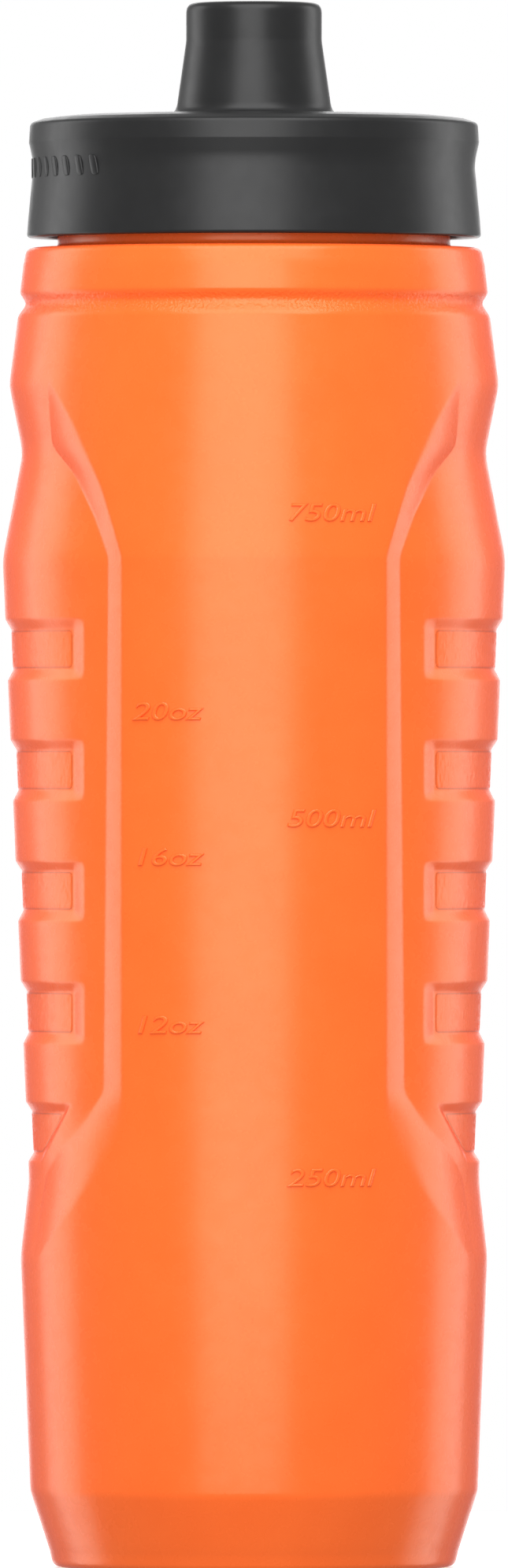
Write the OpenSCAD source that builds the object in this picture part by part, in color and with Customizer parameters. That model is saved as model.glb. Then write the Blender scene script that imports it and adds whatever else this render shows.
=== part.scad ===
// Sports squeeze bottle: a blow-moulded bottle with side grips, and a screw cap
// whose nozzle holds a self-sealing cross-slit valve.
// Frame: origin at the centre of the base, +Z up, grips on the +X and -X sides.

/* [Bottle] */
// Largest radius of the barrel, at the widest ring
barrel_r = 43.3; // [42.8:0.1:43.8]
// Radius of the barrel where the foot chamfer starts
foot_top_r = 36.9; // [36.5:0.1:37.3]
// Wall thickness of the barrel
wall = 1.2; // [0.9:0.1:1.4]
// Height of the concave dome under the base
dome_h = 3; // [2:0.5:4]

/* [Side grips] */
// Half width of the smooth front and back panels
panel_half_w = 21.5; // [21:0.1:22]
// Depth of the grip notches
notch_depth = 1.0; // [0.8:0.1:1.0]
// Height of a grip notch at the surface
notch_h = 10.3; // [9.5:0.1:10.8]

/* [Neck and thread] */
// Outer radius of the neck
neck_r = 32.4; // [32.2:0.1:32.4]
// Radius of the mouth
mouth_r = 30.2; // [29.5:0.1:30.4]
// Rise of the thread in one turn
thread_pitch = 5; // [4.8:0.1:5.2]
// Length of each thread in turns
thread_turns = 1.25; // [1:0.25:1.5]

/* [Cap] */
// Inner radius of the cap
cap_bore_r = 34.1; // [34.1:0.1:34.4]
// Radius of the nozzle at its mouthpiece
nozzle_r = 11.2; // [11:0.1:11.4]
// Radius of the opening in the mouthpiece
drink_hole_r = 6.8; // [6.4:0.1:6.8]

/* [Valve] */
// Thickness of the silicone disc
valve_t = 0.8; // [0.7:0.1:0.9]
// Distance from the middle of the slits to a flap's hinge line
flap_len = 3.7; // [3.4:0.1:3.8]
// Width of the cut between two flaps
slit_w = 0.06; // [0.04:0.01:0.1]

/* [Hidden] */
$fn = 96;
EPS = 0.01;

// Heights up the bottle
foot_corner_z = 2.6;     // top of the rounded foot edge
foot_top_z = 12.6;       // top of the foot chamfer
grip_low_z = 51.3;       // where the grips fade out at the bottom
grip_ramp_z = 63.6;      // top of the lower ramp
widest_z = 166.4;        // the widest ring
finger_z = 183.9;        // bottom of the finger valley
grip_high_z = 194.9;     // where the grips fade out at the top
groove_low_z = 206.4;    // lower edge of the groove
groove_z = 208.5;        // bottom of the groove
groove_high_z = 210.2;   // upper edge of the groove
band_z = 215.7;          // top of the shoulder band
shoulder_z = 217.7;      // flat top of the shoulder
rim_z = 235.2;           // rim of the mouth

// Radii of the barrel
foot_r = 31.3;           // flat part of the foot
upper_r = 38.95;         // just under the groove
groove_r = 37.7;
band_low_r = 38.55;
band_high_r = 38.0;
shoulder_r = 35.9;
dome_r = 26.5;
shoulder_t = 1.6;        // the shoulder and the base are thicker than the wall

// Radii of the grips along the sides
ramp_r = 37.1;
grip_top_r = 41.5;
finger_r = 38.2;

// Grip radius against height; both ends run on past the barrel
GRIP_OVERRUN = 12;
GRIP = [[grip_low_z - GRIP_OVERRUN, ramp_r + 0.11 * (grip_ramp_z - grip_low_z + GRIP_OVERRUN)],
        [grip_ramp_z, ramp_r], [widest_z, grip_top_r], [finger_z, finger_r],
        [grip_high_z + GRIP_OVERRUN, finger_r + 0.19 * (grip_high_z - finger_z + GRIP_OVERRUN)]];

// Half width of the front panel against height: straight sides, flared at both ends
PANEL_STEP = 1.5;        // its edge lies this far outside the smooth part
PANEL = [[48, 36.8], [grip_low_z, 35.7], [58, 32.9], [64.4, 29.9], [71, 26.1],
         [79, panel_half_w + PANEL_STEP], [widest_z, panel_half_w + PANEL_STEP],
         [173, 24.8], [180, 27.8], [184.8, 30.4], [grip_high_z, 33.4], [198, 34.3]];

// Notches: four pads in a row and a tapered one under them
pad_count = 4;
notch_top_z = 151.3;     // middle of the top notch
notch_step = 19.87;
notch_slope = 1.65;      // height taken by a notch's sloping side
notch_x = 27.9;          // where a notch starts, at the surface
pad_x = 29.5;            // where its floor starts
tapered_z = notch_top_z - pad_count * notch_step;
tapered_x = 29.6;        // the tapered notch's edge at its top
tapered_low_x = 35.3;    // and at its bottom
NOTCH_OUT = 50;          // cutters run out to here
SIDE_SHIFT = 1.2;        // sideways shift of an edge inside, as a share of the wall

// Threads
thread_h = 1.3;          // height of a ridge
neck_thread_z = 225;     // start of the bottle's thread
cap_thread_z = neck_thread_z - 1.9;
THREAD_STEPS = 36;       // facets in a turn
THREAD_SINK = 0.4;       // how deep a ridge is rooted in its wall
THREAD_FADE = 40;        // degrees over which a ridge's end fades out

// Cap
cap_low_z = 219.4;
cap_low_r = 37.45;
cap_waist_z = 231.4;
cap_waist_r = 36.35;
cap_rim_z = 235.3;
cap_rim_r = 37.05;
cap_edge_z = 237.9;
cap_top_z = 239.6;
cap_top_r = 30;          // edge of the flat top
gasket_t = 1.6;
cap_ceiling_z = rim_z + gasket_t;
nozzle_base_r = 12.75;
nozzle_fillet = 2.3;
nozzle_neck_z = 251.9;   // the cone turns into the mouthpiece
nozzle_top_z = 258.2;
nozzle_edge = 1.7;       // rounding of the mouthpiece
seat_r = 9.2;            // bore that holds the valve and its retainer
seat_z = 256.4;          // underside of the lip, against the valve
throat_r = 10.4;         // passage at the bottom of the nozzle
throat_z = 246;          // where the seat bore starts

// Valve and its retainer
valve_flange_t = 1.5;
valve_disc_z = 252.6;    // underside of the disc
valve_sleeve_r = 6.4;
valve_sleeve_t = 0.9;
retainer_h = 4.4;
retainer_r = seat_r - 0.05;
retainer_bore_r = 6.9;
retainer_z = seat_z - valve_flange_t - retainer_h;
snap_bead = 0.25;        // the bead in the nozzle that snaps under the retainer
snap_bead_h = 0.4;       // height of each of its slopes

BODY_COLOUR = [1.0, 0.45, 0.20];
CAP_COLOUR = [0.20, 0.20, 0.20];
SILICONE_COLOUR = [0.45, 0.45, 0.46];

// Points on an arc about [cx, cy], from angle a0 to a1
function arc(cx, cy, r, a0, a1, n = 6) =
    [for (i = [0:n]) let (a = a0 + (a1 - a0) * i / n) [cx + r * cos(a), cy + r * sin(a)]];

// Half outline of the barrel, set in by t everywhere
function barrel_outline(t) = let (base_t = t > 0 ? shoulder_t : 0) concat(
    [[0, base_t]],
    arc(foot_r - t, foot_corner_z + base_t * 0.5, foot_corner_z - base_t * 0.5, -90, -17),
    [[foot_top_r - t, foot_top_z], [barrel_r - t, widest_z],
     [upper_r - t, groove_low_z], [groove_r - t, groove_z], [band_low_r - t, groove_high_z],
     [band_high_r - t, band_z - base_t]],
    arc(shoulder_r - t, shoulder_z - base_t - 2, 2, 15, 90),
    [[0, shoulder_z - base_t]]);

// The smooth front and back panels, as one prism that the barrel is trimmed to
module panel_prism(t) {
    shift = SIDE_SHIFT * t;
    n = len(PANEL);
    rotate([90, 0, 0])
        linear_extrude(2 * NOTCH_OUT, center = true)
            polygon(concat([for (p = PANEL) [p[1] - shift, p[0]]],
                           [for (i = [n - 1:-1:0]) [shift - PANEL[i][1], PANEL[i][0]]]));
}

// Solid of the side grips, before it meets the barrel
module grip_form(t) {
    rotate_extrude()
        polygon(concat([[0, GRIP[0][0]]], [for (g = GRIP) [g[1] - t, g[0]]],
                       [[0, GRIP[len(GRIP) - 1][0]]]));
}

// Ring-shaped cutter whose floor follows the taper of the grips
module notch_ring(z, t) {
    top = z + notch_h / 2 + 0.5 * t;
    low = z - notch_h / 2 - 0.5 * t;
    function floor_r(h) = lookup(h, GRIP) - t - notch_depth;
    run = (NOTCH_OUT - floor_r(z)) * notch_slope / notch_depth;
    rotate_extrude()
        polygon([[floor_r(low + notch_slope), low + notch_slope],
                 [NOTCH_OUT, low + notch_slope - run], [NOTCH_OUT, top - notch_slope + run],
                 [floor_r(top - notch_slope), top - notch_slope]]);
}

// Block that keeps the ring to one side of the bottle, with sloping end walls
module notch_side(z, t) {
    r = lookup(z, GRIP) - t;
    x0 = notch_x - SIDE_SHIFT * t;
    x1 = pad_x - SIDE_SHIFT * t;
    y0 = sqrt(r * r - x0 * x0);
    y1 = sqrt(pow(r - notch_depth, 2) - x1 * x1);
    slope = (x1 - x0) / (y0 - y1);
    x2 = x0 - slope * (NOTCH_OUT - y0);
    translate([0, 0, z - notch_h])
        linear_extrude(2 * notch_h)
            polygon([[x1, -y1], [x2, -NOTCH_OUT], [NOTCH_OUT, -NOTCH_OUT],
                     [NOTCH_OUT, NOTCH_OUT], [x2, NOTCH_OUT], [x1, y1]]);
}

// Block for the tapered notch: its edge slants with the lower ramp
module tapered_side(t) {
    top = tapered_z + notch_h / 2 + t;
    low = tapered_z - notch_h / 2 - t;
    rotate([90, 0, 0])
        linear_extrude(2 * NOTCH_OUT, center = true)
            polygon([[tapered_x - SIDE_SHIFT * t, top], [tapered_low_x - SIDE_SHIFT * t, low],
                     [NOTCH_OUT, low], [NOTCH_OUT, top]]);
}

module grip_notches(t) {
    for (side = [0, 180]) rotate([0, 0, side]) {
        for (i = [0:pad_count - 1]) {
            z = notch_top_z - i * notch_step;
            intersection() {
                notch_ring(z, t);
                notch_side(z, t);
            }
        }
        intersection() {
            notch_ring(tapered_z, t);
            tapered_side(t);
        }
    }
}

// The barrel set in by t: at 0 the outside, at wall the inside
module barrel(t) {
    difference() {
        intersection() {
            rotate_extrude() polygon(barrel_outline(t));
            union() {
                grip_form(t);
                panel_prism(t);
                // the barrel keeps its full size below and above the grips
                cylinder(r = NOTCH_OUT, h = 50);
                translate([0, 0, 196]) cylinder(r = NOTCH_OUT, h = 30);
            }
        }
        grip_notches(t);
    }
}

// Underside of the base: a shallow spherical dome, thickened by extra
module base_dome(extra) {
    s = (dome_r * dome_r + dome_h * dome_h) / (2 * dome_h);
    translate([0, 0, dome_h - s]) sphere(r = s + extra);
}

// A helical ridge from radius r0 to r1 that starts at height z and fades out at both ends
module thread_ridge(r0, r1, z, root_w, crest_w) {
    n = floor(thread_turns * THREAD_STEPS);
    function fade(i) = let (a = min(i, n - i) * 360 / THREAD_STEPS) min(1, a / THREAD_FADE);
    points = [for (i = [0:n]) let (
        a = i * 360 / THREAD_STEPS, h = z + thread_pitch * i / THREAD_STEPS,
        f = 0.06 + 0.94 * fade(i), rc = r0 + (r1 - r0) * f)
        for (p = [[r0, -root_w / 2], [rc, -crest_w / 2], [rc, crest_w / 2], [r0, root_w / 2]])
            [p[0] * cos(a), p[0] * sin(a), h + p[1]]];
    flip = r1 < r0;
    sides = [for (i = [0:n - 1]) for (k = [0:3]) let (
        a = 4 * i + k, b = 4 * i + (k + 1) % 4, c = b + 4, d = a + 4)
        for (f = flip ? [[a, c, b], [a, d, c]] : [[a, b, c], [a, c, d]]) f];
    ends = flip ? [[0, 1, 2, 3], [4 * n + 3, 4 * n + 2, 4 * n + 1, 4 * n]]
                : [[3, 2, 1, 0], [4 * n, 4 * n + 1, 4 * n + 2, 4 * n + 3]];
    polyhedron(points = points, faces = concat(sides, ends));
}

// Blow-moulded bottle with its threaded neck
module bottle_body() {
    color(BODY_COLOUR)
    difference() {
        union() {
            barrel(0);
            translate([0, 0, shoulder_z - shoulder_t])
                cylinder(r = neck_r, h = rim_z - shoulder_z + shoulder_t);
            thread_ridge(neck_r - THREAD_SINK, neck_r + thread_h, neck_thread_z, 2.8, 1.1);
        }
        difference() {
            barrel(wall);
            base_dome(shoulder_t);
        }
        translate([0, 0, shoulder_z - 2 * shoulder_t])
            cylinder(r = mouth_r, h = rim_z - shoulder_z + 2 * shoulder_t + EPS);
        intersection() {
            base_dome(0);
            translate([0, 0, -1]) cylinder(r = dome_r + 2, h = dome_h + 2);
        }
    }
}

// Soft ring between the rim of the mouth and the cap
module cap_gasket() {
    color(SILICONE_COLOUR)
    translate([0, 0, rim_z])
        difference() {
            cylinder(r = cap_bore_r - 0.3, h = gasket_t);
            translate([0, 0, -1]) cylinder(r = mouth_r + 0.6, h = gasket_t + 2);
        }
}

// Outside of the cap, from its lower edge to the middle of the drinking hole
function cap_outside() = concat(
    arc(cap_low_r - 0.6, cap_low_z + 0.6, 0.6, -90, 0, 4),
    [[cap_waist_r, cap_waist_z]],
    arc(cap_waist_r + 4, cap_waist_z + 0.6, 4, 180, 145, 4),
    [[cap_rim_r, cap_rim_z], [cap_rim_r - 0.1, cap_edge_z]],
    [for (a = [15:15:90]) [cap_top_r + (cap_rim_r - 0.3 - cap_top_r) * cos(a),
                           cap_edge_z + (cap_top_z - cap_edge_z) * sin(a)]],
    arc(nozzle_base_r + nozzle_fillet, cap_top_z + nozzle_fillet, nozzle_fillet, 270, 190),
    [[nozzle_r, nozzle_neck_z]],
    arc(nozzle_r - nozzle_edge, nozzle_top_z - nozzle_edge, nozzle_edge, 0, 90),
    arc(drink_hole_r + 0.6, nozzle_top_z - 0.6, 0.6, 90, 180, 4));

// Inside of the cap, back down from the lip to the lower edge
CAP_INSIDE = [[drink_hole_r, seat_z], [seat_r, seat_z], [seat_r, retainer_z],
              [seat_r - snap_bead, retainer_z - snap_bead_h],
              [seat_r, retainer_z - 2 * snap_bead_h], [seat_r, throat_z],
              [throat_r, throat_z - 1.5], [throat_r, cap_ceiling_z],
              [cap_bore_r, cap_ceiling_z], [cap_bore_r, cap_low_z]];

// Screw cap and nozzle, moulded in one piece
module screw_cap() {
    color(CAP_COLOUR)
    union() {
        rotate_extrude() polygon(concat(cap_outside(), CAP_INSIDE));
        thread_ridge(cap_bore_r + THREAD_SINK, cap_bore_r - thread_h, cap_thread_z, 2.6, 1.0);
    }
}

// Ring pressed up the nozzle, which clamps the valve's flange against the lip
module valve_retainer() {
    color(CAP_COLOUR)
    translate([0, 0, retainer_z])
        difference() {
            cylinder(r = retainer_r, h = retainer_h);
            translate([0, 0, -1]) cylinder(r = retainer_bore_r, h = retainer_h + 2);
            translate([0, 0, -EPS])
                cylinder(r1 = retainer_bore_r + 1, r2 = retainer_bore_r, h = 1);
        }
}

// Silicone valve: a clamped flange, a sleeve, and a disc with a square opening for the flaps
module valve_body() {
    color(SILICONE_COLOUR)
    difference() {
        union() {
            translate([0, 0, seat_z - valve_flange_t])
                cylinder(r = seat_r - 0.1, h = valve_flange_t);
            translate([0, 0, valve_disc_z])
                cylinder(r = valve_sleeve_r, h = seat_z - valve_disc_z);
        }
        translate([0, 0, valve_disc_z + valve_t])
            cylinder(r = valve_sleeve_r - valve_sleeve_t, h = seat_z - valve_disc_z);
        translate([0, 0, valve_disc_z + valve_t / 2])
            cube([2 * flap_len, 2 * flap_len, valve_t + 1], center = true);
    }
}

// One triangular flap of the cross-slit valve; its sides are undercut so that it can lift
module valve_flap(turn) {
    base = flap_len - slit_w;
    color(SILICONE_COLOUR)
    rotate([0, 0, turn])
        translate([0, 0, valve_disc_z])
            polyhedron(
                points = [for (d = [0, valve_t]) each [
                    [slit_w + d, 0, valve_t - d],
                    [base, slit_w + d - base, valve_t - d],
                    [base, base - slit_w - d, valve_t - d]]],
                faces = [[0, 2, 1], [3, 4, 5], [0, 1, 4, 3], [2, 0, 3, 5], [1, 2, 5, 4]]);
}

bottle_body();
cap_gasket();
screw_cap();
valve_retainer();
valve_body();
valve_flap(0);  // valve_flap_1
valve_flap(90);  // valve_flap_2
valve_flap(180);  // valve_flap_3
valve_flap(270);  // valve_flap_4
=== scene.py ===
# %% [markdown]
# # Sports squeeze bottle
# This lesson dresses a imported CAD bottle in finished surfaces.
# The CAD model fixes every size and every moving body, so the first step is to load it.
# Each new piece rides on one of its bodies. The new shell and cap also stand in for the
# solids that they cover, and the smaller solids are kept.

# %% Load the frame
import math

import bpy
import numpy as np
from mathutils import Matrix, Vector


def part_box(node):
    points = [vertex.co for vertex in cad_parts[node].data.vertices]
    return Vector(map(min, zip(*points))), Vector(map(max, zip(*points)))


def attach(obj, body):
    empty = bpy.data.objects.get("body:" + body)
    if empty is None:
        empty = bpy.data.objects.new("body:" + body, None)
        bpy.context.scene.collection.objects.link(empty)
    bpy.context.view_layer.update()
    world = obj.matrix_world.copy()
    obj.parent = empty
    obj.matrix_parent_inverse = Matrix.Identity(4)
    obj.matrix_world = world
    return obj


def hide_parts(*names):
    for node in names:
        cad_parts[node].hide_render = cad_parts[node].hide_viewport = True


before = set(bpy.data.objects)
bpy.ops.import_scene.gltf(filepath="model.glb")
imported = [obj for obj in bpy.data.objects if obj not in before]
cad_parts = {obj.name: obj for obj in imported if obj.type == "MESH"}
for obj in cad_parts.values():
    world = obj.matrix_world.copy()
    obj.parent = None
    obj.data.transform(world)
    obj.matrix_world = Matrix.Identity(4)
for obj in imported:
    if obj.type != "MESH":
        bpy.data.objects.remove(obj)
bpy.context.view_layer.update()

MM = 0.001
BODY_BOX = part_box("bottle_body")
CAP_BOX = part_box("screw_cap")
print("bottle, mm:", [[round(v / MM, 1) for v in corner] for corner in BODY_BOX])

# %% [markdown]
# ## Finishes
# The bottle is soft blow-moulded polyethylene and the cap is harder injection-moulded plastic.
# Neither is one flat colour: moulded plastic has slight clouding and fine scuffs, and its
# gloss changes a little from place to place. Noise in Object coordinates makes all of
# this, so nothing has to be unwrapped and the pattern stays still when a body moves.

# %% A helper for shader nodes
def add_node(tree, kind, **settings):
    node = tree.nodes.new(kind)
    for name, value in settings.items():
        if hasattr(node, name):
            setattr(node, name, value)
        else:
            node.inputs[name].default_value = value
    return node


def mottle(tree, coords, size_mm, low, high, detail=3.0):
    """A soft noise with grains of size_mm, spread from low to high."""
    noise = add_node(tree, "ShaderNodeTexNoise", Scale=1.0 / (size_mm * MM), Detail=detail)
    spread = add_node(tree, "ShaderNodeMapRange")
    spread.inputs["From Min"].default_value = 0.3
    spread.inputs["From Max"].default_value = 0.7
    spread.inputs["To Min"].default_value = low
    spread.inputs["To Max"].default_value = high
    tree.links.new(coords, noise.inputs["Vector"])
    tree.links.new(noise.outputs["Fac"], spread.inputs["Value"])
    return spread.outputs["Result"]


print("shader helpers: add_node, and mottle, which takes its grain size in mm")

# %% [markdown]
# One helper builds all three finishes, because they differ only in their numbers. It also
# reads two values that a mesh may carry: `grain`, where the mould was etched, and `seam`, the
# pads' parting line, where the colour is darkened as painted shade for the groove's shadow.
# A mesh without them reads 0 and stays plain.
# The soft sheen gives the bottle's outer edges the deep red glow of light inside the plastic.

# %% A helper for moulded plastic
CLOUD_MM = 9.0
SCUFF_MM = 2.5
ETCH_MM = 0.5
ETCH_DEPTH = 0.08
# How far the seam darkens the base colour: painted shade for the groove round the pads
SEAM_SHADE = 0.42


def moulded_plastic(name, dark, light, rough, grain_mm, grain_depth,
                    sheen=0.0, sheen_tint=(1, 1, 1), soft=0.0, gloss=0.5, tint=(1, 1, 1)):
    """dark and light are linear colours; rough runs from shiny spots to dull ones; sizes are in mm."""
    material = bpy.data.materials.new(name)
    material.use_nodes = True
    tree = material.node_tree
    shader = tree.nodes["Principled BSDF"]
    coords = add_node(tree, "ShaderNodeTexCoord").outputs["Object"]
    ramp = add_node(tree, "ShaderNodeValToRGB")
    ramp.color_ramp.elements[0].color = (*dark, 1)
    ramp.color_ramp.elements[1].color = (*light, 1)
    tree.links.new(mottle(tree, coords, CLOUD_MM, 0.0, 1.0), ramp.inputs["Fac"])
    # The seam value darkens the base colour: painted shade along the pads' parting line
    seam = add_node(tree, "ShaderNodeAttribute", attribute_name="seam")
    shade = add_node(tree, "ShaderNodeMath", operation="MULTIPLY_ADD")
    shade.inputs[1].default_value = -SEAM_SHADE
    shade.inputs[2].default_value = 1.0
    seam_shaded = add_node(tree, "ShaderNodeVectorMath", operation="SCALE")
    tree.links.new(seam.outputs["Fac"], shade.inputs[0])
    tree.links.new(ramp.outputs["Color"], seam_shaded.inputs[0])
    tree.links.new(shade.outputs[0], seam_shaded.inputs["Scale"])
    tree.links.new(seam_shaded.outputs[0], shader.inputs["Base Color"])
    tree.links.new(mottle(tree, coords, SCUFF_MM, *rough), shader.inputs["Roughness"])
    bump = add_node(tree, "ShaderNodeBump", Strength=0.5, Distance=grain_depth * MM)
    tree.links.new(mottle(tree, coords, grain_mm, 0.0, 1.0, 6.0), bump.inputs["Height"])
    grained = add_node(tree, "ShaderNodeAttribute", attribute_name="grain")
    etching = add_node(tree, "ShaderNodeBump", Strength=0.9, Distance=ETCH_DEPTH * MM)
    patch = add_node(tree, "ShaderNodeMath", operation="MULTIPLY")
    tree.links.new(grained.outputs["Fac"], patch.inputs[0])
    tree.links.new(mottle(tree, coords, ETCH_MM, 0.0, 1.0, 2.0), patch.inputs[1])
    tree.links.new(patch.outputs[0], etching.inputs["Height"])
    tree.links.new(bump.outputs["Normal"], etching.inputs["Normal"])
    tree.links.new(etching.outputs["Normal"], shader.inputs["Normal"])
    shader.inputs["Specular Tint"].default_value = (*tint, 1)
    shader.inputs["Sheen Weight"].default_value = sheen
    shader.inputs["Sheen Tint"].default_value = (*sheen_tint, 1)
    shader.inputs["Specular IOR Level"].default_value = gloss
    shader.inputs["Subsurface Weight"].default_value = soft
    shader.inputs["Subsurface Radius"].default_value = (2.0, 0.7, 0.3)
    shader.inputs["Subsurface Scale"].default_value = MM
    print("finish", name, "roughness", rough)
    return material


# %% The three finishes
ORANGE_DARK = (0.98, 0.140, 0.018)
ORANGE_LIGHT = (1.0, 0.150, 0.021)
CHARCOAL_DARK = (0.0115, 0.0115, 0.0118)
CHARCOAL_LIGHT = (0.0135, 0.0135, 0.0139)
GREY_DARK = (0.165, 0.165, 0.17)
GREY_LIGHT = (0.185, 0.185, 0.19)
body_plastic = moulded_plastic(
    "orange_squeeze_plastic", ORANGE_DARK, ORANGE_LIGHT, rough=(0.24, 0.30), grain_mm=0.6, grain_depth=0.006,
    gloss=0.5, tint=(1.0, 1.0, 0.72), sheen=0.6, sheen_tint=(1.0, 0.08, 0.05))
cap_plastic = moulded_plastic(
    "dark_cap_plastic", CHARCOAL_DARK, CHARCOAL_LIGHT, rough=(0.33, 0.38), grain_mm=0.3, grain_depth=0.004,
    gloss=0.34)
silicone = moulded_plastic(
    "grey_silicone", GREY_DARK, GREY_LIGHT, rough=(0.55, 0.68), grain_mm=0.5, grain_depth=0.01,
    sheen=0.15, soft=0.05)

# %% [markdown]
# ## Profiles
# A bottle's side is a line of radius against height.
# Each list below names the few heights where that line turns, and `rounded` averages the
# line over a short stretch, which rounds every turn as a mould maker's cutter would.

# %% Rounded lines and soft steps
def rounded(z, keys, blend):
    """The line through keys at heights z, averaged over a stretch of blend mm each way."""
    heights, values = zip(*keys)
    shifts = np.linspace(-blend, blend, 9)
    return sum(np.interp(np.asarray(z, float) + s, heights, values) for s in shifts) / len(shifts)


def soft_step(x, blend=0.08):
    """0 below 0 and 1 above 1, with both corners eased."""
    shifts = np.linspace(-blend, blend, 7)
    return sum(np.clip(x + s, 0, 1) for s in shifts) / len(shifts)


print("an eased step at 0, 0.5 and 1:", soft_step(np.array([0.0, 0.5, 1.0])).round(3))

# %% The barrel's own line, and the narrower line of the grips
FOOT_TOP = 12.6
GRIP_LOW = 51.3
WIDEST = 166.4
GRIP_HIGH = 195.0
GROOVE = 208.4
BAND_TOP = 216.0
BARREL = [(2.6, 33.7), (FOOT_TOP, 36.9), (GRIP_LOW, 38.5), (WIDEST, 43.28), (GRIP_HIGH, 40.4),
          (206.4, 38.95), (GROOVE - 0.2, 37.7), (GROOVE + 0.4, 37.7), (210.2, 38.6), (BAND_TOP, 37.95)]
GRIPS = [(GRIP_LOW, 38.5), (63.7, 37.1), (WIDEST, 41.48), (183.9, 38.15), (GRIP_HIGH, 40.4)]
WALL = 1.2


def barrel_radius(z):
    return rounded(z, BARREL, 0.35)


def grip_radius(z):
    return np.minimum(barrel_radius(z), rounded(z, GRIPS, 1.6))


print("widest ring, mm:", round(float(barrel_radius(WIDEST)) * 2, 2))

# %% [markdown]
# ## The grips' outline
# Seen from the front, the smooth panel is bounded by a slanted strip on each side.
# Four lines on each side matter: the panel's edge, the foot of the strip, the edge of the
# notches and the edge of their pads. Each is a list of heights with a distance from the
# middle, since that is how a maker would draw them, and `key_angles` turns them into angles.

# %% Lines that bound the panel and the notches
PANEL_EDGE = [(GRIP_LOW, 35.6), (58.2, 30.9), (64.4, 26.5), (70.8, 22.7), (74.8, 21.5), (WIDEST, 21.5),
              (177.8, 24.9), (188, 29.5), (GRIP_HIGH, 33.4)]
STRIP_FOOT = [(GRIP_LOW, 36.2), (64.4, 34.2), (69.1, 31.7), (73, 28.2), (78.7, 24.6), (WIDEST, 23.9),
              (172.9, 26.0), (180, 29.25), (184.7, 33.0), (GRIP_HIGH, 33.9)]
NOTCH_EDGE = [(67.3, 34.9), (76.8, 29.9), (84, 27.9)]
PAD_EDGE = [(68.4, 34.7), (75.4, 30.9), (84, 29.5)]
NOTCH_DEPTH = 1.0
LEAST_GAP = math.radians(3.0)


def key_angles(z):
    """Angles from the front of the panel edge, strip foot, notch edge and pad edge, at heights z."""
    grip = grip_radius(z)
    edge = np.arcsin(rounded(z, PANEL_EDGE, 0.8) / barrel_radius(z))
    foot = np.maximum(np.arcsin(rounded(z, STRIP_FOOT, 0.8) / grip), edge + LEAST_GAP / 3)
    notch = np.maximum(np.arcsin(rounded(z, NOTCH_EDGE, 0.4) / grip), foot + LEAST_GAP)
    pad = np.maximum(np.arcsin(rounded(z, PAD_EDGE, 0.4) / (grip - NOTCH_DEPTH)), notch + LEAST_GAP)
    return np.stack([edge, foot, notch, pad], axis=-1)


middle = np.degrees(key_angles(np.array([120.0])))[0]
print("edges at mid height, degrees:", np.round(middle, 1))

# %% [markdown]
# ## A grid that follows the design
# A plain lathe grid would cut across the grips' edges and leave them jagged.
# Here every column is pinned to a line of the design instead: column 1 is the panel edge,
# 2 the foot of the strip, 3 and 4 the notch and pad edges, and 5 the middle of the side.
# Columns crowd together where the surface turns, and lie far apart where it is smooth.

# %% Columns
QUARTER = np.concatenate([
    np.linspace(0, 0.95, 21), [0.985, 1.0, 1.07, 1.16, 1.38, 1.62, 1.84, 1.93],
    [2.0, 2.06, 2.2, 2.5, 2.8, 2.92], [3.0, 3.1, 3.3, 3.5, 3.7, 3.9],
    [4.0, 4.015, 4.04], np.linspace(4.08, 5, 24)])
COLUMNS = np.concatenate([QUARTER, QUARTER[-2::-1], QUARTER[1:], QUARTER[-2:0:-1]])
TURNS = len(QUARTER) - 1
QUARTER_OF = np.repeat([0, 1, 2, 3], [TURNS + 1, TURNS, TURNS, TURNS - 1])


def column_angles(z):
    """One row of angles for each height, counted from the front towards +X and all the way round."""
    keys = key_angles(np.clip(z, GRIP_LOW, GRIP_HIGH))
    out = np.empty((len(z), len(COLUMNS)))
    for i, four in enumerate(keys):
        spots = np.concatenate([[0], four, [math.pi / 2]])
        out[i] = np.interp(COLUMNS, np.arange(6), spots)
    flip = QUARTER_OF % 2 == 1
    base = np.select([QUARTER_OF == 0, QUARTER_OF < 3], [0, math.pi], 2 * math.pi)
    return np.where(flip, base - out, base + out)


print("columns round the bottle:", len(COLUMNS))

# %% [markdown]
# ## Notches
# Five finger notches cross each grip. Their floor is 1 mm deep, and their walls slope out
# to rounded corners. A mask between 0 and 1 says how far down each grid point lies, which
# keeps one smooth mesh where cutting the notches out would leave ragged edges.

# %% The notches
# Each notch: the heights of its upper edge, the floor's top and bottom, and its lower edge
NOTCHES = [(156.4, 154.6, 148.1, 146.3), (136.5, 134.8, 128.2, 126.4), (116.5, 114.9, 108.4, 106.6),
           (96.7, 95.0, 88.2, 86.4), (76.8, 75.2, 68.4, 66.9)]
CORNER = 4.0    # a higher power gives a squarer corner


def notch_mask(z, column):
    """1 on the floor of a notch and 0 outside it, with rounded corners."""
    total = np.zeros(np.broadcast(z, column).shape)
    across = np.clip(4 - column, 0, 3)
    for top, floor_top, floor_low, low in NOTCHES:
        above = (z - floor_top) / (top - floor_top)
        below = (floor_low - z) / (floor_low - low)
        up = np.maximum(above, below)
        away = (np.maximum(across, 0) ** CORNER + np.maximum(up, 0) ** CORNER) ** (1 / CORNER)
        total += soft_step(1 - away)
    return np.clip(total, 0, 1)


def outer_radius(z, column):
    """The outside of the barrel at heights z (a column vector) and grid columns (a row)."""
    main = barrel_radius(z)
    grip = grip_radius(z)
    inward = soft_step(column - 1)
    return main + (grip - main) * inward - NOTCH_DEPTH * notch_mask(z, column)


notch_heights = [top - low for top, _, _, low in NOTCHES]
print(len(NOTCHES), "notches on each side, from", round(min(notch_heights), 1), "to",
      round(max(notch_heights), 1), "mm tall")

# %% [markdown]
# ## Round corners on a turned profile
# The neck, rim, base and cap are turned shapes. Their profiles are corners with a
# radius each, so one helper swaps every corner for a short curve that leaves one side and
# meets the other without a kink.

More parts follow.
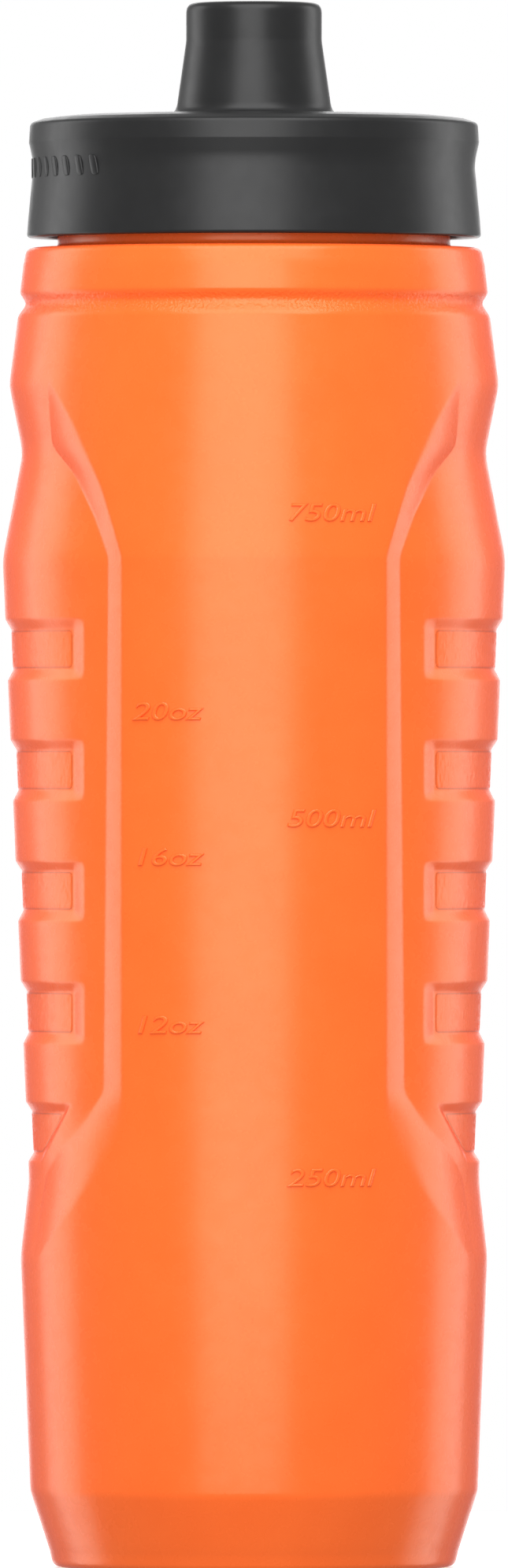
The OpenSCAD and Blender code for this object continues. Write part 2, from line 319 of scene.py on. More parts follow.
# %% Corners to curves
def fillet_path(corners, closed=False, steps=6):
    """corners are (radius, height, fillet). Returns the points of the rounded line."""
    places = [np.array(corner[:2], float) for corner in corners]
    out = []
    for i, (here, corner) in enumerate(zip(places, corners)):
        is_end = not closed and i in (0, len(places) - 1)
        if is_end or corner[2] <= 0:
            out.append(here)
            continue
        back, ahead = places[i - 1] - here, places[(i + 1) % len(places)] - here
        back_length, ahead_length = np.linalg.norm(back), np.linalg.norm(ahead)
        back, ahead = back / back_length, ahead / ahead_length
        half = math.acos(np.clip(back @ ahead, -1, 1)) / 2
        reach = min(corner[2] / math.tan(half), 0.48 * back_length, 0.48 * ahead_length)
        for s in np.linspace(0, 1, steps + 1):
            out.append(here + back * reach * (1 - s) ** 2 + ahead * reach * s ** 2)
    return np.array(out)


print("points that one rounded corner adds:", len(fillet_path([(0, 0, 0), (1, 0, 0.2), (1, 1, 0)])) - 2)

# %% [markdown]
# ## From a grid to a piece
# Every turned piece is rows of points round the axis. One helper joins them into quads and
# closes the ends at a pole, and another gives the finished mesh its finish and hands it to its body.
# A closed mesh has a signed volume, which is negative when the faces point inwards.

# %% Mesh helpers
def add_object(name, data):
    """An object in the scene that holds data: a mesh, a text curve, a camera or a light."""
    item = bpy.data.objects.new(name, data)
    bpy.context.scene.collection.objects.link(item)
    return item


def grid_mesh(name, rings, start_pole=None, end_pole=None, loop=False):
    """rings is rows x columns x 3, in mm; poles close the ends, or loop joins them."""
    rows, cols, _ = rings.shape
    verts = [tuple(p) for p in rings.reshape(-1, 3) * MM]
    faces = []
    for i in range(rows if loop else rows - 1):
        a, b = i * cols, ((i + 1) % rows) * cols
        for j in range(cols):
            k = (j + 1) % cols
            faces.append((a + j, a + k, b + k, b + j))
    if start_pole is not None:
        verts.append(tuple(np.array(start_pole) * MM))
        faces += [(len(verts) - 1, (j + 1) % cols, j) for j in range(cols)]
    if end_pole is not None:
        verts.append(tuple(np.array(end_pole) * MM))
        last = (rows - 1) * cols
        faces += [(len(verts) - 1, last + j, last + (j + 1) % cols) for j in range(cols)]
    mesh = bpy.data.meshes.new(name)
    mesh.from_pydata(verts, [], faces)
    mesh.shade_smooth()
    print(name, rows, "rows of", cols)
    return add_object(name, mesh)


def mesh_points(mesh):
    flat = np.empty(len(mesh.vertices) * 3)
    mesh.vertices.foreach_get("co", flat)
    return flat.reshape(-1, 3)


def signed_volume_ml(mesh):
    mesh.calc_loop_triangles()
    points = mesh_points(mesh)
    corners = np.empty(len(mesh.loop_triangles) * 3, int)
    mesh.loop_triangles.foreach_get("vertices", corners)
    a, b, c = (points[corners.reshape(-1, 3)[:, i]] for i in range(3))
    return float(np.einsum("ij,ij->i", a, np.cross(b, c)).sum() / 6 * 1e6)


def finish_piece(piece, material, body, replaced=()):
    piece.data.materials.clear()
    piece.data.materials.append(material)
    if signed_volume_ml(piece.data) < 0:
        piece.data.flip_normals()
    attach(piece, body)
    if replaced:
        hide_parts(*replaced)
    volume = signed_volume_ml(piece.data)
    print(piece.name, len(piece.data.loop_triangles), "triangles,", round(volume, 3), "ml of plastic")
    return piece


# %% [markdown]
# ## The bottle
# The real bottle is one hollow blow moulding, so it is one closed mesh here as well.
# The grid runs from the middle of the base up the outside, over the rim and down the
# inside, so the wall has a thickness and the open mouth shows it.

# %% The heights of the barrel's rows
def filled(keys, step):
    """The keys, with evenly spaced values between them wherever they lie further apart than step."""
    keys = sorted(set(np.round(keys, 3)))
    out = [keys[0]]
    for a, b in zip(keys, keys[1:]):
        parts = max(int(math.ceil((b - a) / step)), 1)
        out += list(np.linspace(a, b, parts + 1)[1:])
    return out


EDGE = 0.25    # rows this far on both sides of every notch edge keep it crisp
notch_rows = [level + s for notch in NOTCHES for level in notch for s in (-EDGE, 0, EDGE)]
notch_rows += [(notch[i] + notch[i + 1]) / 2 for notch in NOTCHES for i in (0, 2)]
grip_rows = filled([GRIP_LOW - 1, *notch_rows, 160, WIDEST - 0.5, WIDEST, WIDEST + 0.5, 196], 1.15)
low_rows = filled([2.9, 5, FOOT_TOP - 0.7, FOOT_TOP, FOOT_TOP + 0.7, GRIP_LOW - 2.2], 2.4)
groove_turns = [206.4, GROOVE - 0.2, GROOVE + 0.4, 210.2]
groove_rows = [turn + s for turn in groove_turns for s in (-0.3, 0, 0.3)] + [207.4, 209.6]
top_rows = filled([198, 205, 205.8, *groove_rows, 211, BAND_TOP - 1], 1.4)
barrel_z = np.array(low_rows + grip_rows + top_rows)
print("rows on the barrel:", len(barrel_z))

# %% Base, neck and inside
NECK = 32.4
MOUTH = 30.2
SHOULDER = 217.7
RIM = BODY_BOX[1][2] / MM
DOME_RISE = 3.0
DOME = 26.5
BASE_WALL = 1.6
BASE = fillet_path([(5, DOME_RISE * 0.965, 0), (14, DOME_RISE * 0.72, 8), (DOME, 0, 3), (33.1, 0, 2.4),
                    (33.72, 2.7, 0)])
TOP = fillet_path([(37.95, BAND_TOP - 0.6, 0), (37.5, SHOULDER, 1.6), (NECK, SHOULDER, 0.8), (NECK, RIM, 0.5),
                   (MOUTH, RIM, 0.5), (MOUTH, 216.2, 1.5), (36.6, 215.0, 1.2), (36.75, 213.4, 0)])
INNER_BASE = fillet_path([(33.2, 5.4, 0), (32.1, 1.7, 3.0), (DOME, 1.65, 4),
                          (14, DOME_RISE * 0.72 + BASE_WALL, 8), (5, DOME_RISE * 0.965 + BASE_WALL, 0)])
inner_z = np.array(filled([6.5, GRIP_LOW, 66, 86, 157, WIDEST, 183.9, 196, 205, GROOVE, 210.4, 212.5], 4.5))
inner_z = inner_z[::-1]


def turned(path):
    """Radii and heights of a turned stretch, the same in every column."""
    return np.repeat(path[:, :1], len(COLUMNS), axis=1), path[:, 1]


outside = (outer_radius(barrel_z[:, None], COLUMNS[None, :]), barrel_z)
inside = (outer_radius(inner_z[:, None], COLUMNS[None, :]) - WALL, inner_z)
stretches = [turned(BASE), outside, turned(TOP), inside, turned(INNER_BASE)]
radii = np.concatenate([stretch[0] for stretch in stretches])
heights = np.concatenate([stretch[1] for stretch in stretches])
print("rows from the base's pole to the inside's pole:", len(heights))

# %% Build the bottle
ETCHED_LOW = 206.5
ETCHED_HIGH = 210.0
ETCHED_FADE = 0.4
angles = column_angles(heights)
points = np.stack([radii * np.sin(angles), -radii * np.cos(angles),
                   np.repeat(heights[:, None], len(COLUMNS), axis=1)], axis=-1)
shell = grid_mesh("bottle_shell", points, (0, 0, DOME_RISE), (0, 0, DOME_RISE + BASE_WALL))
grain = shell.data.attributes.new("grain", "FLOAT", "POINT")
in_groove = np.clip(np.minimum(heights - ETCHED_LOW, ETCHED_HIGH - heights) / ETCHED_FADE, 0, 1)
grain.data.foreach_set("value", [*np.repeat(in_groove, len(COLUMNS)), 0, 0])
finish_piece(shell, body_plastic, "bottle", ["bottle_body"])

# %% [markdown]
# ## A helper for Geometry Nodes
# The parts that repeat or follow a rule are Geometry Nodes trees. The helper runs a tree
# on an object, takes the finished shape as a plain mesh, and removes the modifier.

# %% Run a tree and keep its mesh
def run_tree(piece, tree, values):
    modifier = piece.modifiers.new("shape", "NODES")
    modifier.node_group = tree
    for item in tree.interface.items_tree:
        if item.item_type == "SOCKET" and item.in_out == "INPUT" and item.name in values:
            modifier[item.identifier] = values[item.name]
    evaluated = piece.evaluated_get(bpy.context.evaluated_depsgraph_get())
    mesh = bpy.data.meshes.new_from_object(evaluated)
    piece.modifiers.clear()
    piece.data = mesh
    mesh.shade_smooth()
    print(piece.name, "took its shape from", tree.name, "with", len(mesh.polygons), "faces")
    return piece


def new_tree(name, inputs):
    tree = bpy.data.node_groups.new(name, "GeometryNodeTree")
    tree.interface.new_socket("Geometry", in_out="INPUT", socket_type="NodeSocketGeometry")
    for label, kind in inputs:
        tree.interface.new_socket(label, in_out="INPUT", socket_type=kind)
    tree.interface.new_socket("Geometry", in_out="OUTPUT", socket_type="NodeSocketGeometry")
    return tree, tree.nodes.new("NodeGroupInput").outputs, tree.nodes.new("NodeGroupOutput").inputs


def math_node(tree, operation, *values):
    """A Math node; each value is a number or another node's output."""
    node = tree.nodes.new("ShaderNodeMath")
    node.operation = operation
    for socket, value in zip(node.inputs, values):
        if isinstance(value, (int, float)):
            socket.default_value = value
        else:
            tree.links.new(value, socket)
    return node.outputs[0]


def end_tree(tree, geometry, group_in, group_out):
    real = tree.nodes.new("GeometryNodeRealizeInstances")
    paint = tree.nodes.new("GeometryNodeSetMaterial")
    tree.links.new(geometry, real.inputs[0])
    tree.links.new(real.outputs[0], paint.inputs["Geometry"])
    tree.links.new(group_in["Material"], paint.inputs["Material"])
    tree.links.new(paint.outputs[0], group_out[0])


# %% [markdown]
# ## Leather-grained pads
# The floor of each notch carries a pad with a fine wrinkled grain, so that wet fingers hold.
# A bump in the material could fake it, but real wrinkles also show on the bottle's outline.
# Each pad starts as a thin sheet just proud of the floor. Its border tucks under the floor,
# and a lower band inside the border, darkened with painted shade, makes the parting line.
# A noise stretched along the height then wrinkles the sheet, and fades out on the parting line.

# %% Pad sheets
PAD_PROUD = 0.07
PAD_TUCK = 0.2
PAD_CORNER = 0.9
PAD_INSET = 0.05
PAD_END_GAP = 0.006    # an angle, in radians
PAD_ROW = 0.42
PAD_COLUMNS = 330
# Going in from the border: the distance, the level over the floor, and how much painted seam shade shows
BORDER = [0, 0.1, 0.2, 0.32, 0.44]
BORDER_LEVEL = [-PAD_TUCK, 0.03, 0.03, 0.04, PAD_PROUD]
BORDER_SEAM = [1, 1, 1, 0.6, 0]
CLOSE_SHARES = np.array([0, 0.0018, 0.0036, 0.0058])


def pad_sheet(notch, side):
    """One pad as rows x columns of points, and its seam value at each; side is +1 or -1."""
    _, floor_top, floor_low, _ = notch
    low, high = floor_low + PAD_INSET, floor_top - PAD_INSET
    z = np.array(filled([low + b for b in BORDER] + [high - b for b in BORDER], PAD_ROW))
    start = key_angles(z)[:, 3] + PAD_END_GAP
    share = np.concatenate([CLOSE_SHARES, np.linspace(0.008, 0.992, PAD_COLUMNS), 1 - CLOSE_SHARES[::-1]])
    angle = start[:, None] + (math.pi - 2 * start)[:, None] * share[None, :]
    r = grip_radius(z)[:, None] - NOTCH_DEPTH
    from_end = r * (math.pi - 2 * start)[:, None] * np.minimum(share, 1 - share)[None, :]
    from_edge = np.minimum(z - z[0], z[-1] - z)[:, None]
    past_corner = np.hypot(np.maximum(PAD_CORNER - from_end, 0), np.maximum(PAD_CORNER - from_edge, 0))
    inward = PAD_CORNER - past_corner
    r = r + np.interp(inward, BORDER, BORDER_LEVEL)
    level = np.repeat(z[:, None], len(share), axis=1)
    sheet = np.stack([side * r * np.sin(angle), -r * np.cos(angle), level], axis=-1)
    # The seam value later darkens the colour here: painted shade for the groove round the pad
    return sheet, np.interp(inward, BORDER, BORDER_SEAM)


def sheets_mesh(name, sheets):
    verts, faces, seams = [], [], []
    for sheet, seam in sheets:
        rows, cols, _ = sheet.shape
        seams += list(seam.ravel())
        base = len(verts)
        verts += [tuple(p) for p in sheet.reshape(-1, 3) * MM]
        flip = sheet[0, cols // 2, 0] < 0
        for i in range(rows - 1):
            for j in range(cols - 1):
                a = base + i * cols + j
                quad = (a, a + 1, a + cols + 1, a + cols)
                faces.append(quad[::-1] if flip else quad)
    mesh = bpy.data.meshes.new(name)
    mesh.from_pydata(verts, [], faces)
    mesh.attributes.new("seam", "FLOAT", "POINT").data.foreach_set("value", seams)
    return add_object(name, mesh)


first_pad = pad_sheet(NOTCHES[0], 1)[0]
print("one pad, rows and columns:", first_pad.shape[:2])
print("one pad, mm tall:", round(float(np.ptp(first_pad[:, :, 2])), 2))

# %% The wrinkling tree
def wrinkle_tree():
    tree, given, result = new_tree("leather_wrinkles", [
        ("Across", "NodeSocketFloat"), ("Along", "NodeSocketFloat"), ("Depth", "NodeSocketFloat"),
        ("Material", "NodeSocketMaterial")])
    place = tree.nodes.new("GeometryNodeInputPosition")
    pitch = tree.nodes.new("ShaderNodeCombineXYZ")
    for axis, label in zip("XYZ", ("Across", "Across", "Along")):
        tree.links.new(math_node(tree, "DIVIDE", 1.0, given[label]), pitch.inputs[axis])
    spread = tree.nodes.new("ShaderNodeVectorMath")
    spread.operation = "MULTIPLY"
    tree.links.new(place.outputs[0], spread.inputs[0])
    tree.links.new(pitch.outputs[0], spread.inputs[1])
    noise = add_node(tree, "ShaderNodeTexNoise", Scale=1.0, Detail=2.0, Distortion=1.2)
    tree.links.new(spread.outputs[0], noise.inputs["Vector"])
    seam = add_node(tree, "GeometryNodeInputNamedAttribute", data_type="FLOAT")
    seam.inputs["Name"].default_value = "seam"
    off_seam = math_node(tree, "SUBTRACT", 1.0, seam.outputs["Attribute"])
    depth = math_node(tree, "MULTIPLY", off_seam, given["Depth"])
    ripple = math_node(tree, "SUBTRACT", noise.outputs["Fac"], 0.5)
    height = math_node(tree, "MULTIPLY", ripple, depth)
    lift = tree.nodes.new("ShaderNodeVectorMath")
    lift.operation = "SCALE"
    tree.links.new(tree.nodes.new("GeometryNodeInputNormal").outputs[0], lift.inputs[0])
    tree.links.new(height, lift.inputs["Scale"])
    move = tree.nodes.new("GeometryNodeSetPosition")
    tree.links.new(given["Geometry"], move.inputs["Geometry"])
    tree.links.new(lift.outputs[0], move.inputs["Offset"])
    end_tree(tree, move.outputs[0], given, result)
    return tree


pads = sheets_mesh("grip_pads", [pad_sheet(notch, side) for notch in NOTCHES for side in (1, -1)])
run_tree(pads, wrinkle_tree(), {
    "Across": 0.4 * MM, "Along": 0.62 * MM, "Depth": 0.15 * MM, "Material": body_plastic})
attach(pads, "bottle")
print("pads:", 2 * len(NOTCHES))

# %% [markdown]
# ## Screw threads
# Both threads are the same rule: a point climbs steadily while it goes round.
# A Geometry Nodes tree bends a straight line into that helix and runs a round ridge along
# it. The ridge fades to nothing at both ends, so that the cap starts on it easily.
# A screw modifier would also make a helix, but not one that fades.

# %% A point on a circle, for both this tree and the bars' tree
def spot_on_circle(tree, angle, radius, height):
    spot = tree.nodes.new("ShaderNodeCombineXYZ")
    for axis, operation in (("X", "COSINE"), ("Y", "SINE")):
        share = math_node(tree, operation, angle)
        tree.links.new(math_node(tree, "MULTIPLY", share, radius), spot.inputs[axis])
    tree.links.new(height, spot.inputs["Z"])
    return spot.outputs[0]


print("a point on a circle takes an angle, a radius and a height")

# %% The thread tree
LINE_POINTS = 181
END_STEEPNESS = 16.0    # each end rises over a sixteenth of the ridge's length


def thread_tree():
    tree, given, result = new_tree("thread_ridge", [
        ("Radius", "NodeSocketFloat"), ("Start", "NodeSocketFloat"), ("Pitch", "NodeSocketFloat"),
        ("Turns", "NodeSocketFloat"), ("Ridge", "NodeSocketFloat"), ("Material", "NodeSocketMaterial")])
    line = tree.nodes.new("GeometryNodeCurvePrimitiveLine")
    fine = add_node(tree, "GeometryNodeResampleCurve", Count=LINE_POINTS)
    tree.links.new(line.outputs[0], fine.inputs["Curve"])
    share = tree.nodes.new("GeometryNodeSplineParameter").outputs["Factor"]
    turns_done = math_node(tree, "MULTIPLY", share, given["Turns"])
    angle = math_node(tree, "MULTIPLY", turns_done, 2 * math.pi)
    climb = math_node(tree, "MULTIPLY", turns_done, given["Pitch"])
    height = math_node(tree, "ADD", climb, given["Start"])
    bend = tree.nodes.new("GeometryNodeSetPosition")
    tree.links.new(fine.outputs[0], bend.inputs["Geometry"])
    tree.links.new(spot_on_circle(tree, angle, given["Radius"], height), bend.inputs["Position"])
    nearer_end = math_node(tree, "MINIMUM", share, math_node(tree, "SUBTRACT", 1.0, share))
    rise = math_node(tree, "MINIMUM", math_node(tree, "MULTIPLY", nearer_end, END_STEEPNESS), 1.0)
    fade = math_node(tree, "POWER", rise, 0.5)
    size = tree.nodes.new("GeometryNodeSetCurveRadius")
    tree.links.new(bend.outputs[0], size.inputs["Curve"])
    tree.links.new(math_node(tree, "MAXIMUM", fade, 0.02), size.inputs["Radius"])
    ring = add_node(tree, "GeometryNodeCurvePrimitiveCircle", Resolution=16)
    tree.links.new(given["Ridge"], ring.inputs["Radius"])
    sweep = add_node(tree, "GeometryNodeCurveToMesh")
    sweep.inputs["Fill Caps"].default_value = True
    tree.links.new(size.outputs[0], sweep.inputs["Curve"])
    tree.links.new(ring.outputs[0], sweep.inputs["Profile Curve"])
    end_tree(tree, sweep.outputs[0], given, result)
    return tree


thread = thread_tree()
print("nodes in the thread tree:", len(thread.nodes))

# %% Both threads
THREAD_PITCH = 5.0
THREAD_TURNS = 1.25
RIDGE = 1.12
CAP_BORE = 34.1
for name, radius, start, material, body, slot in (
        ("neck_thread", NECK, 225.0, body_plastic, "bottle", "bottle_plastic"),
        ("cap_thread", CAP_BORE, 223.1, cap_plastic, "cap", "cap_plastic")):
    ridge = add_object(name, bpy.data.meshes.new(name))
    run_tree(ridge, thread, {"Radius": radius * MM, "Start": start * MM, "Pitch": THREAD_PITCH * MM,
                             "Turns": THREAD_TURNS, "Ridge": RIDGE * MM, "Material": material})
    finish_piece(ridge, material, body)

# %% [markdown]
# ## The cap
# The cap and its nozzle are one moulding, turned all round: a skirt that is waisted for the
# fingers, a rounded top and a nozzle that tapers up to a straight end. One closed profile
# describes the outside and the inside together, so the wall has a thickness too.

# %% The cap's profile
CAP_LOW = CAP_BOX[0][2] / MM
CAP_HIGH = CAP_BOX[1][2] / MM
WAIST = 36.4
WAIST_HEIGHT = 231.6
DECK = 239.6
NOZZLE = 11.2
NOZZLE_FOOT = 12.95
STRAIGHT_FROM = 251.9
DRINKING_HOLE = 6.8
HOLE_LOW = CAP_HIGH - 1.75
VALVE_SEAT = 9.25
THROAT = 10.4
THROAT_TOP = 246
CEILING = 236.8
SKIRT_OUTSIDE = [(37.5, CAP_LOW, 0.6), (37.3, 222.2, 2), (WAIST, WAIST_HEIGHT, 9), (37.15, 235.1, 1.2),
                 (36.95, 238.3, 1.0), (34.9, 239.0, 1.5), (31.0, 239.45, 3), (24, DECK, 3)]
NOZZLE_OUTSIDE = [(NOZZLE_FOOT, DECK, 2.3), (NOZZLE, STRAIGHT_FROM, 6), (NOZZLE, CAP_HIGH, 1.7)]
NOZZLE_INSIDE = [(DRINKING_HOLE, CAP_HIGH, 0.6), (DRINKING_HOLE, HOLE_LOW, 0.15),
                 (VALVE_SEAT, HOLE_LOW, 0.15), (VALVE_SEAT, THROAT_TOP, 0.2),
                 (THROAT, THROAT_TOP, 0.2), (THROAT, CEILING, 0.5)]
SKIRT_INSIDE = [(CAP_BORE, CEILING, 0.5), (CAP_BORE, CAP_LOW, 0.4)]
CAP_PROFILE = SKIRT_OUTSIDE + NOZZLE_OUTSIDE + NOZZLE_INSIDE + SKIRT_INSIDE
print("corners in the cap's profile:", len(CAP_PROFILE))

# %% Build the cap
CAP_COLUMNS = 160
cap_path = fillet_path(CAP_PROFILE, closed=True, steps=7)
round_angles = np.linspace(0, 2 * math.pi, CAP_COLUMNS, endpoint=False)
cap_points = np.stack([cap_path[:, :1] * np.sin(round_angles), -cap_path[:, :1] * np.cos(round_angles),
                       np.repeat(cap_path[:, 1:], CAP_COLUMNS, axis=1)], axis=-1)
cap = grid_mesh("cap_shell", cap_points, loop=True)
finish_piece(cap, cap_plastic, "cap", ["screw_cap"])

# %% [markdown]
# ## Grip bars on the cap
# A row of low slanted bars on one side gives wet fingers a hold on the smooth skirt.
# One bar is modelled, and a Geometry Nodes tree sets copies of it round the skirt, so
# changing their number or their spread is one value and not a new model.

# %% One bar and the tree that repeats it
BAR_TALL = 3.4
BAR_WIDE = 1.7
BAR_PROUD = 0.3
BAR_SLANT = 0.27
BAR_COUNT = 16
BAR_SPAN = math.radians(44)
BAR_MIDDLE = 230.85
SKIRT = WAIST + 0.05
BAR_ROOT = 0.5
SQUARENESS = 0.45    # a lower power gives the bar squarer corners


def bar_blank():
    """A rounded slanted bar that faces +X, centred on the origin."""
    rings = []
    for depth, grow in ((-BAR_ROOT, 0.0), (0.12, 0.0), (0.24, -0.06), (BAR_PROUD, -0.22)):
        outline = []
        for a in np.linspace(0, 2 * math.pi, 20, endpoint=False):
            y = (BAR_WIDE / 2 + grow) * np.sign(math.cos(a)) * abs(math.cos(a)) ** SQUARENESS
            z = (BAR_TALL / 2 + grow) * np.sign(math.sin(a)) * abs(math.sin(a)) ** SQUARENESS
            outline.append((depth, y - z * BAR_SLANT, z))
        rings.append(outline)
    return grid_mesh("grip_bars", np.array(rings), (-BAR_ROOT, 0, 0), (BAR_PROUD + 0.01, 0, 0))


def bar_ring_tree():
    tree, given, result = new_tree("bar_ring", [
        ("Count", "NodeSocketInt"), ("Radius", "NodeSocketFloat"), ("Height", "NodeSocketFloat"),
        ("Half Span", "NodeSocketFloat"), ("Material", "NodeSocketMaterial")])
    spots = tree.nodes.new("GeometryNodeMeshLine")
    tree.links.new(given["Count"], spots.inputs["Count"])
    index = tree.nodes.new("GeometryNodeInputIndex").outputs[0]
    share = math_node(tree, "DIVIDE", index, math_node(tree, "SUBTRACT", given["Count"], 1.0))
    side_to_side = math_node(tree, "SUBTRACT", math_node(tree, "MULTIPLY", share, 2.0), 1.0)
    swing = math_node(tree, "MULTIPLY", side_to_side, given["Half Span"])
    angle = math_node(tree, "ADD", swing, math.pi)
    place = tree.nodes.new("GeometryNodeSetPosition")
    tree.links.new(spots.outputs[0], place.inputs["Geometry"])
    tree.links.new(spot_on_circle(tree, angle, given["Radius"], given["Height"]), place.inputs["Position"])
    turn = tree.nodes.new("ShaderNodeCombineXYZ")
    tree.links.new(angle, turn.inputs["Z"])
    copies = tree.nodes.new("GeometryNodeInstanceOnPoints")
    tree.links.new(place.outputs[0], copies.inputs["Points"])
    tree.links.new(given["Geometry"], copies.inputs["Instance"])
    tree.links.new(turn.outputs[0], copies.inputs["Rotation"])
    end_tree(tree, copies.outputs[0], given, result)
    return tree


bars = run_tree(bar_blank(), bar_ring_tree(), {
    "Count": BAR_COUNT, "Radius": SKIRT * MM, "Height": BAR_MIDDLE * MM, "Half Span": BAR_SPAN,
    "Material": cap_plastic})
finish_piece(bars, cap_plastic, "cap")

# %% [markdown]
# ## Volume marks
# The mould leaves low raised figures on the front panel. They start as flat text, are
# turned into a mesh and slanted, and then each point is laid on the curved panel. The
# letters' bevel turns into sloped ridges, which catch the light as soft moulding does.

# %% Marks
MARK_TALL = 3.05
MARK_PROUD = 0.32
MARK_SUNK = 0.2
# Each mark: its text, its middle's place across and up, and its width
MARKS = [("750ml", 12.7, 173.6, 14.7), ("500ml", 12.7, 123.6, 14.7), ("250ml", 12.7, 64.8, 14.7),
         ("20oz", -13.9, 141.1, 12.1), ("16oz", -13.4, 117.3, 11.3), ("12oz", -13.4, 89.8, 11.3)]
MARK_SLANT = 0.28


def volume_mark(text, x_mid, z_mid, width):
    """One mark as a mesh on the panel. The letters' own sizes are shares of their height."""
    curve = bpy.data.curves.new("mark", "FONT")
    curve.body = text
    curve.extrude = 0.001
    curve.bevel_depth = 0.042
    curve.bevel_resolution = 1
    curve.offset = -0.024
    curve.resolution_u = 4
    writer = add_object("mark", curve)
    mesh = bpy.data.meshes.new_from_object(writer.evaluated_get(bpy.context.evaluated_depsgraph_get()))
    bpy.data.objects.remove(writer)
    flat = mesh_points(mesh)
    low, high = flat.min(axis=0), flat.max(axis=0)
    across, up, _ = ((flat - low) / (high - low) - 0.5).T
    z = z_mid + up * MARK_TALL
    x = x_mid + across * (width - MARK_TALL * MARK_SLANT) + up * MARK_TALL * MARK_SLANT
    raised = flat[:, 2] / high[2]
    r = barrel_radius(z) + np.where(raised > 0, raised * MARK_PROUD, raised * MARK_SUNK)
    placed = np.stack([x, -np.sqrt(r ** 2 - x ** 2), z], axis=-1) * MM
    mesh.vertices.foreach_set("co", placed.ravel())
    mesh.update()
    return mesh


print("marks:", ", ".join(mark[0] for mark in MARKS))

# %% Join the marks into one piece
marks = add_object("volume_marks", bpy.data.meshes.new("volume_marks"))
mark_verts, mark_faces = [], []
for mark in MARKS:
    mesh = volume_mark(*mark)
    first = len(mark_verts)
    mark_verts += [tuple(vertex.co) for vertex in mesh.vertices]
    mark_faces += [tuple(first + i for i in face.vertices) for face in mesh.polygons]
marks.data.from_pydata(mark_verts, [], mark_faces)
finish_piece(marks, body_plastic, "bottle")

# %% [markdown]
# ## Solids that stay as they are
# The gasket, the valve, its four flaps and its retainer are already the right shape, so
# they keep their CAD meshes and only take a finish.

# %% Dress the remaining solids
KEPT = {"cap_gasket": silicone, "valve_retainer": cap_plastic, "valve_body": silicone}
KEPT.update({f"valve_flap_{i}": silicone for i in range(1, 5)})
for node, material in KEPT.items():
    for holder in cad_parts[node].material_slots:
        holder.material = material
print("kept solids:", ", ".join(KEPT))

# %% [markdown]
# ## Floor
# The bottle stands on a pale disc that glows a little, so it fades into the white page.
# It is hidden from diffuse and glossy rays, or its glow would wash out the bottle's foot.

# %% The floor
FLOOR_RADIUS = 300
FLOOR_LEVEL = -0.2
FLOOR_GLOW = 0.55


def floor_disc(radius, rings=6, around=64):
    turn = np.linspace(0, 2 * math.pi, around, endpoint=False)
    rows = [[(r * math.cos(a), r * math.sin(a), FLOOR_LEVEL) for a in turn]
            for r in np.linspace(radius / rings, radius, rings)]
    return grid_mesh("floor", np.array(rows), (0, 0, FLOOR_LEVEL))


floor_finish = bpy.data.materials.new("pale_floor")
floor_finish.use_nodes = True
floor_shader = floor_finish.node_tree.nodes["Principled BSDF"]
floor_shader.inputs["Base Color"].default_value = (0.9, 0.9, 0.9, 1)
floor_shader.inputs["Roughness"].default_value = 0.8
floor_shader.inputs["Emission Color"].default_value = (1, 1, 1, 1)
floor_shader.inputs["Emission Strength"].default_value = FLOOR_GLOW
floor = floor_disc(FLOOR_RADIUS)
floor.visible_diffuse = False
floor.visible_glossy = False
if floor.data.polygons[0].normal.z < 0:
    floor.data.flip_normals()
floor.data.materials.append(floor_finish)

# %% [markdown]
# ## Camera
# A long lens from far away keeps the bottle's sides upright. The lens follows from the
# distance and from how much height has to fit, so moving the camera keeps the framing.

# %% The camera
DISTANCE = 3.9
CAMERA_HEIGHT = 0.1292
VIEW_TALL = 0.25896
SENSOR = 36.0
camera_data = bpy.data.cameras.new("camera")
camera_data.sensor_width = SENSOR
camera_data.lens = SENSOR * DISTANCE / VIEW_TALL
camera_data.clip_end = 50
camera = add_object("camera", camera_data)
camera.location = (0, -DISTANCE, CAMERA_HEIGHT)
camera.rotation_euler = (math.pi / 2, 0, 0)
bpy.context.scene.camera = camera
print("lens, mm:", round(camera_data.lens), "at", DISTANCE, "m")

# %% [markdown]
# ## Lights
# One wide soft light stands behind the camera and lights the front panel. A tall strip
# behind each side draws a pale line down the grips, a panel overhead lights the cap's deck,
# and one behind fills the outline. A light's energy follows from its size and brightness,
# so that a bigger light is softer and not brighter to look at.

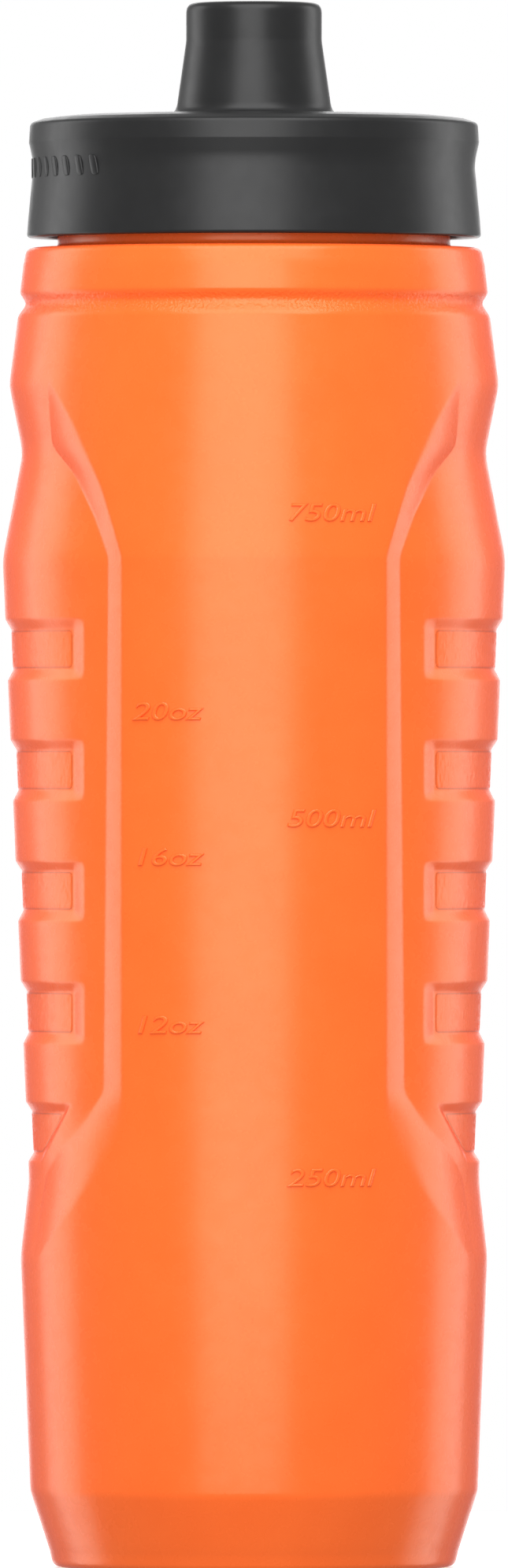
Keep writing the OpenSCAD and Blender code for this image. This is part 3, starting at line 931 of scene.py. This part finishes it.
# %% The lights
def soft_light(name, angle_deg, distance, height, wide, tall, radiance, tilt_deg=90):
    """A rectangular light aimed at the axis; angle_deg is counted from the front towards +X."""
    data = bpy.data.lights.new(name, "AREA")
    data.shape = "RECTANGLE"
    data.size = wide
    data.size_y = tall
    data.energy = radiance * math.pi * wide * tall
    light = add_object(name, data)
    a = math.radians(angle_deg)
    light.location = (distance * math.sin(a), -distance * math.cos(a), height)
    light.rotation_euler = (math.radians(tilt_deg), 0, a)
    light.visible_camera = False
    print(name, "at", angle_deg, "degrees,", round(data.energy, 1), "W")


soft_light("front_key", -5.5, distance=4.2, height=0.7, wide=3.4, tall=3.1, radiance=3.2)
soft_light("strip_right", 115, distance=1.2, height=0.2, wide=0.6, tall=1.6, radiance=2.2)
soft_light("strip_left", -115, distance=1.2, height=0.2, wide=0.6, tall=1.6, radiance=2.2)
soft_light("top_fill", 0, distance=0.9, height=1.3, wide=1.6, tall=1.2, radiance=3.6, tilt_deg=38)
soft_light("back_fill", 180, distance=3.0, height=0.5, wide=1.6, tall=2.0, radiance=2.2)

# %% [markdown]
# ## World and tone
# A white surround would light the bottle from everywhere and flatten it. So the camera sees
# a white page, and every other ray sees a dimmer surround. The Standard view keeps the
# orange as strong as it was mixed.

# %% World and tone
SURROUND = 0.42
world = bpy.data.worlds.new("studio")
bpy.context.scene.world = world
world.use_nodes = True
sky = world.node_tree
surround = sky.nodes["Background"]
surround.inputs["Strength"].default_value = SURROUND
surround.inputs["Color"].default_value = (1, 1, 1, 1)
page = add_node(sky, "ShaderNodeBackground", Strength=1.0)
page.inputs["Color"].default_value = (1, 1, 1, 1)
seen = sky.nodes.new("ShaderNodeLightPath")
choose = sky.nodes.new("ShaderNodeMixShader")
sky.links.new(seen.outputs["Is Camera Ray"], choose.inputs[0])
sky.links.new(surround.outputs[0], choose.inputs[1])
sky.links.new(page.outputs[0], choose.inputs[2])
sky.links.new(choose.outputs[0], sky.nodes["World Output"].inputs["Surface"])
bpy.context.scene.view_settings.view_transform = "Standard"
print("surround:", SURROUND, "of the page's white")
